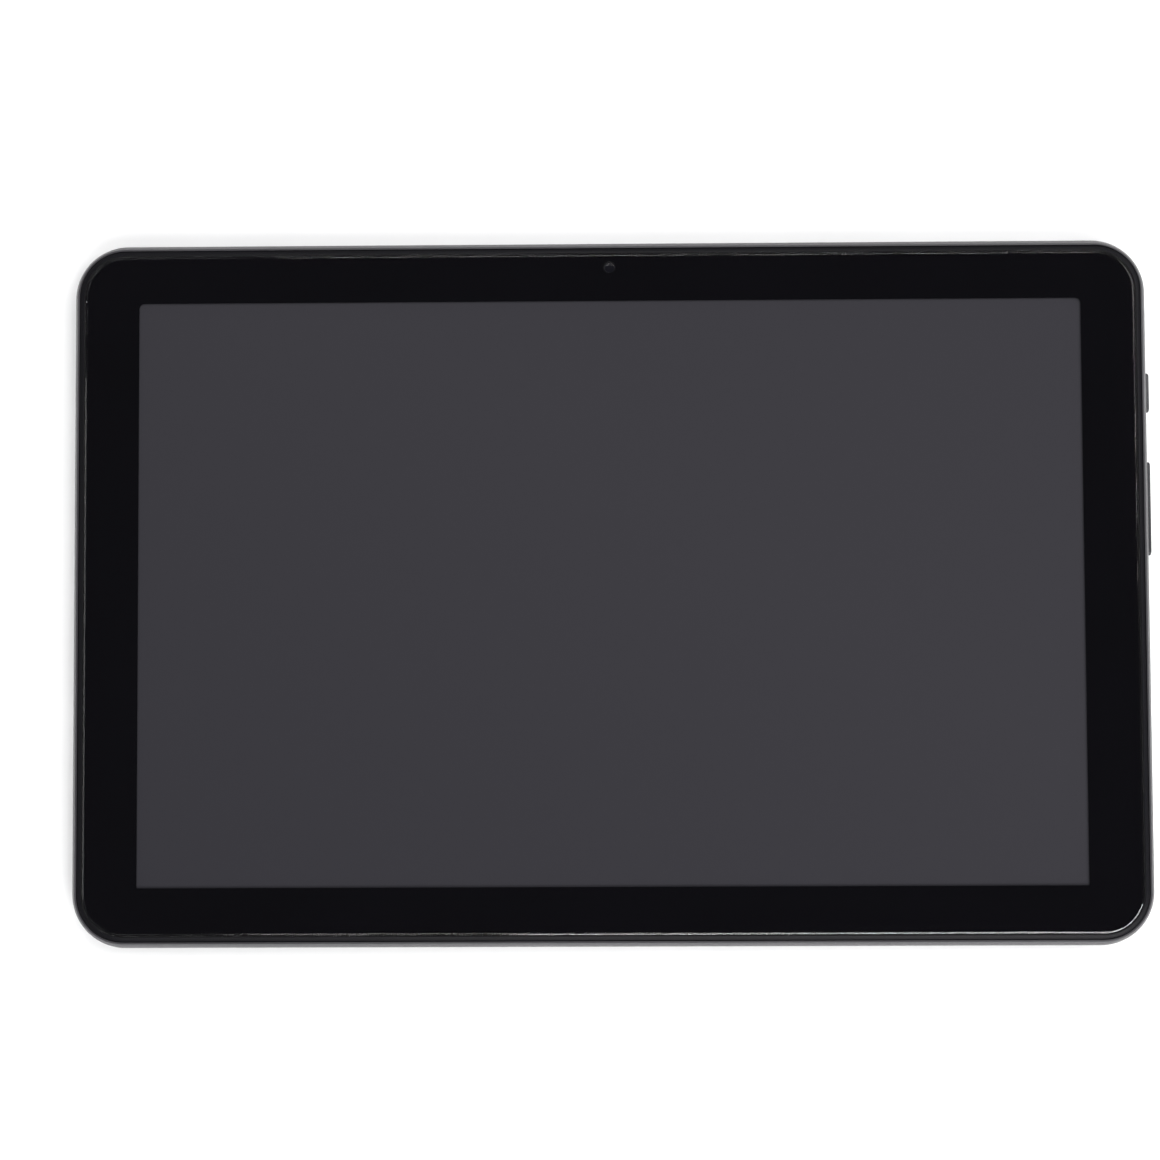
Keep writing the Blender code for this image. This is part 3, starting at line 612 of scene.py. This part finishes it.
def make_tray():
    """The tray's face, flush with the side, and the carrier with the card's recess."""
    edge = COVER_HIGH.y
    carrier_low = (CARRIER_X[0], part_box("card_tray")[0].y, CARRIER_Z[0])
    carrier_high = (CARRIER_X[1], edge - 0.0015, CARRIER_Z[1])
    tray = prism("card_tray_body", tray_outline(0.0), edge - 0.0021, edge + 0.002, "Y")
    sections = [(body_outline(inset, 8), z) for inset, z in side_sections(COVER_HIGH.z)]
    combine(tray, loft("envelope", sections), "INTERSECT")
    combine(tray, block("carrier", carrier_low, carrier_high), "UNION")
    left, right = RECESS_X
    back, front = RECESS_Y
    recess = [(left, back), (right, back), (right, RECESS_CUT[1]), (RECESS_CUT[0], front), (left, front)]
    combine(tray, prism("recess", recess, RECESS_FLOOR, 0.0045))
    opening = rounded_rectangle(OPENING_LOW, OPENING_HIGH, (0.0006,) * 4, 4)
    combine(tray, prism("through", opening, 0.002, 0.0045))
    rod_low, rod_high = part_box("eject_rod")
    pin = circle(((rod_low.x + rod_high.x) / 2, WIDEST_Z), 0.00045, 24)
    combine(tray, prism("pinhole", pin, edge - 0.003, edge + 0.003, "Y"))
    soften(tray, 0.00005)
    place_piece(tray, "card_tray", "tray", "card_tray")


def make_port():
    """The receptacle's shell, its tongue and the gold contacts on both sides of it."""
    low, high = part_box("usb_c_shell")
    centre = ((low.y + high.y) / 2, (low.z + high.z) / 2)
    length, height = high.y - low.y, high.z - low.z
    lip = 0.00008
    wall = 0.0003
    outer = [(0.0, high.x), (0.0, low.x + lip), (lip, low.x)]
    inner = [(wall - lip, low.x), (wall, low.x + lip), (wall, high.x - 0.0005)]
    sections = [(slot_outline(centre, length, height, inset), x) for inset, x in outer + inner]
    shell = loft("usb_receptacle_shell", sections, "X")
    soften(shell, 0.0)
    place_piece(shell, "housing", "steel", "usb_c_shell")
    low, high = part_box("usb_c_tongue")
    tongue = block("usb_receptacle_tongue", low, high)
    soften(tongue, 0.00012)
    place_piece(tongue, "housing", "black_plastic", "usb_c_tongue")
    count, pitch = 12, 0.0005
    middle = (low.y + high.y) / 2
    faces = (("upper", high.z - 0.00002, high.z + 0.00003), ("lower", low.z - 0.00003, low.z + 0.00002))
    for face, z0, z1 in faces:
        bm = bmesh.new()
        for number in range(count):
            y = middle + (number - (count - 1) / 2) * pitch
            made = bmesh.ops.create_cube(bm, size=1.0)
            bmesh.ops.scale(bm, vec=(0.0034, 0.00026, z1 - z0), verts=made["verts"])
            bmesh.ops.translate(bm, vec=(low.x + 0.0022, y, (z0 + z1) / 2), verts=made["verts"])
        pads = link(f"usb_contacts_{face}", bm)
        pads.data.materials.append(GOLD)
        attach(pads, "housing")


# --------------------------------------------------------------------- cameras


def turned(name, profile, centre, steps=64):
    """A turned solid from radius and height pairs, which start and end on the axis."""
    sections = [(circle(centre, max(radius, 0.00001), steps), z) for radius, z in profile]
    return loft(name, sections)


def make_front_camera():
    low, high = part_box("front_camera_module")
    centre = ((low.x + high.x) / 2, (low.y + high.y) / 2)
    body_top = 0.0064
    module = block("front_camera_body", low, (high.x, high.y, body_top))
    barrel = [
        (0.0021, body_top - 0.0002),
        (0.0021, high.z - 0.0001),
        (0.0020, high.z),
        (0.0015, high.z),
        (0.0013, high.z - 0.0002),
        (0.0009, high.z - 0.0003),
    ]
    combine(module, turned("barrel", barrel, centre), "UNION")
    soften(module, 0.00005)
    place_piece(module, "housing", "black_plastic", "front_camera_module")
    low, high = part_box("front_camera_lens")
    radius = (high.x - low.x) / 2
    base = low.z + 0.00008
    dome = [(radius, low.z), (radius, base)]
    for step in range(1, 9):
        angle = math.pi / 2 * step / 8
        dome.append((radius * math.cos(angle), base + (high.z - base) * math.sin(angle)))
    lens = turned("front_camera_dome", dome, centre)
    soften(lens, 0.0)
    place_piece(lens, "housing", "lens", "front_camera_lens")


def make_rear_camera():
    low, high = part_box("rear_camera_trim")
    centre = ((low.x + high.x) / 2, (low.y + high.y) / 2)
    radius = (high.x - low.x) / 2
    rings = [
        (0.0039, high.z),
        (0.0039, low.z + 0.0002),
        (0.0041, low.z),
        (radius - 0.0002, low.z),
        (radius, low.z + 0.0002),
        (radius, high.z),
    ]
    bm = bmesh.new()
    steps = 72
    loops = [[bm.verts.new((x, y, z)) for x, y in circle(centre, r, steps)] for r, z in rings]
    for first, second in zip(loops, loops[1:] + loops[:1]):
        for index in range(steps):
            following = (index + 1) % steps
            bm.faces.new((first[index], first[following], second[following], second[index]))
    trim = link("rear_camera_ring", bm)
    soften(trim, 0.00004)
    place_piece(trim, "housing", "trim", "rear_camera_trim")
    make_rear_lens(centre)


def make_rear_lens(centre):
    """The clear window, and behind it a stepped barrel round the lens."""
    low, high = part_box("rear_camera_window")
    radius = (high.x - low.x) / 2
    edge = 0.00008
    pane = [(radius - edge, low.z), (radius, low.z + edge), (radius, high.z - edge), (radius - edge, high.z)]
    window = turned("rear_camera_pane", pane, centre)
    soften(window, 0.0)
    place_piece(window, "housing", "lens", "rear_camera_window")
    window.data.materials[0] = WINDOW
    let_light_through(window)
    low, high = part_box("rear_camera_module")
    body_low = 0.0016
    module = block("rear_camera_body", (low.x, low.y, body_low), high)
    steps = [
        (0.0032, body_low + 0.0002),
        (0.0032, low.z + 0.0001),
        (0.0031, low.z),
        (0.0027, low.z),
        (0.0026, low.z + 0.00015),
        (0.0022, low.z + 0.00015),
        (0.0021, low.z + 0.0003),
        (0.0019, low.z + 0.0003),
        (0.0015, low.z + 0.0005),
    ]
    barrel = turned("rear_barrel", steps, centre)
    combine(module, barrel, "UNION")
    soften(module, 0.00006)
    place_piece(module, "housing", "black_plastic", "rear_camera_module")
    bulge = 0.0002
    dome = [(0.0016, low.z + 0.00055)]
    for step in range(1, 9):
        angle = math.pi / 2 * step / 8
        dome.append((0.0016 * math.cos(angle), low.z + 0.0005 - bulge * math.sin(angle)))
    lens = turned("rear_camera_lens", dome, centre)
    soften(lens, 0.0)
    lens.data.materials.append(MATERIALS["lens"])
    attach(lens, "housing")


# ------------------------------------------------------------ camera and light

LENS = 62.07
CAMERA_TURN = Euler((math.radians(-2.572), math.radians(-0.688), math.radians(0.292)), "XYZ")
CAMERA_SHIFT = Vector((0.0069, -0.0027, -0.4580))


def make_camera():
    """The camera above the tablet. The turn and shift carry the glass's frame to the camera's."""
    data = bpy.data.cameras.new("camera")
    data.lens = LENS
    data.sensor_width = 36.0
    camera = bpy.data.objects.new("camera", data)
    bpy.context.scene.collection.objects.link(camera)
    back = CAMERA_TURN.to_matrix().transposed()
    place = Vector((0.0, 0.0, GLASS_HIGH.z)) - back @ CAMERA_SHIFT
    camera.matrix_world = Matrix.Translation(place) @ back.to_4x4()
    bpy.context.scene.camera = camera


LIGHT_LEVEL = 1.1
ROOM_LEVEL = 0.74


def soft_box(name, azimuth, elevation, distance, width, height, share):
    """A lit panel that faces the tablet. Its share is how bright it alone makes a white floor there."""
    around, up = math.radians(azimuth), math.radians(elevation)
    flat = math.cos(up)
    direction = Vector((flat * math.cos(around), flat * math.sin(around), math.sin(up)))
    data = bpy.data.lights.new(name, "AREA")
    data.shape = "RECTANGLE"
    data.size = width
    data.size_y = height
    data.energy = LIGHT_LEVEL * share * math.pi ** 2 * distance ** 2 / math.sin(up)
    light = bpy.data.objects.new(name, data)
    light.location = direction * distance
    light.rotation_euler = (-direction).to_track_quat("-Z", "Y").to_euler()
    light.visible_camera = False
    bpy.context.scene.collection.objects.link(light)


def make_world():
    """A pale room with a dark band half way up and a dim ceiling, which keep the glass dark."""
    world = bpy.data.worlds.new("studio")
    bpy.context.scene.world = world
    world.use_nodes = True
    tree = world.node_tree
    direction = tree.nodes.new("ShaderNodeTexCoord")
    split = tree.nodes.new("ShaderNodeSeparateXYZ")
    ramp = tree.nodes.new("ShaderNodeValToRGB")
    stops = (
        (0.0, 0.9),
        (0.32, 0.9),
        (0.40, 0.06),
        (0.62, 0.06),
        (0.68, 0.75),
        (0.80, 0.60),
        (0.88, 0.065),
        (1.0, 0.06),
    )
    while len(ramp.color_ramp.elements) < len(stops):
        ramp.color_ramp.elements.new(0.5)
    for element, (position, level) in zip(ramp.color_ramp.elements, stops):
        element.position = position
        element.color = (level, level, level * 1.02, 1.0)
    tree.links.new(direction.outputs["Generated"], split.inputs["Vector"])
    tree.links.new(split.outputs["Z"], ramp.inputs["Fac"])
    tree.links.new(ramp.outputs["Color"], tree.nodes["Background"].inputs["Color"])
    tree.nodes["Background"].inputs["Strength"].default_value = ROOM_LEVEL


def make_stage():
    bm = bmesh.new()
    bmesh.ops.create_grid(bm, x_segments=8, y_segments=8, size=1.6)
    floor = link("floor", bm)
    white = (0.93, 0.93, 0.93)
    finish = grained("floor_finish", white, 0.7, grain=400.0, relief=0.00001, vary=0.01, specular=0.2)
    floor.data.materials.append(finish)
    floor.visible_shadow = False


def make_lights():
    """Soft boxes all round. The low strips draw the lines of light along the bevel of the glass."""
    soft_box("front_strip", -72.0, 34.0, 1.2, 0.80, 0.16, 0.17)
    soft_box("corner_strip", -43.0, 28.0, 1.2, 0.9, 0.10, 0.13)
    soft_box("left_strip", 181.0, 28.0, 1.2, 0.45, 0.20, 0.012)
    soft_box("front", -80.0, 52.0, 1.2, 0.9, 0.5, 0.33)
    soft_box("front_left", 225.0, 53.0, 1.3, 0.5, 0.5, 0.03)
    soft_box("left", 185.0, 53.0, 1.2, 0.5, 0.25, 0.02)
    soft_box("back_left", 135.0, 52.0, 1.3, 0.6, 0.5, 0.06)
    soft_box("back", 80.0, 55.0, 1.3, 0.8, 0.5, 0.33)
    soft_box("back_right", 25.0, 48.0, 1.3, 0.6, 0.5, 0.30)


def main():
    make_housing()
    make_mid_frame()
    make_glass()
    make_gasket()
    make_border()
    make_key("power_button", "power_key", 0.0019, (0.0,))
    make_key("volume_button", "volume_key", 0.0021, (-0.0075, 0.0075))
    make_tray()
    make_port()
    make_front_camera()
    make_rear_camera()
    slots = {part["node"]: part["material_slot"] for part in frame["record"]["subparts"]}
    for node, obj in frame["nodes"].items():
        if not obj.hide_render:
            dress(obj, slots[node])
        if slots[node] == "clear_film":
            let_light_through(obj)
    make_camera()
    make_world()
    make_lights()
    make_stage()
    bpy.context.scene.view_settings.view_transform = "Standard"


main()
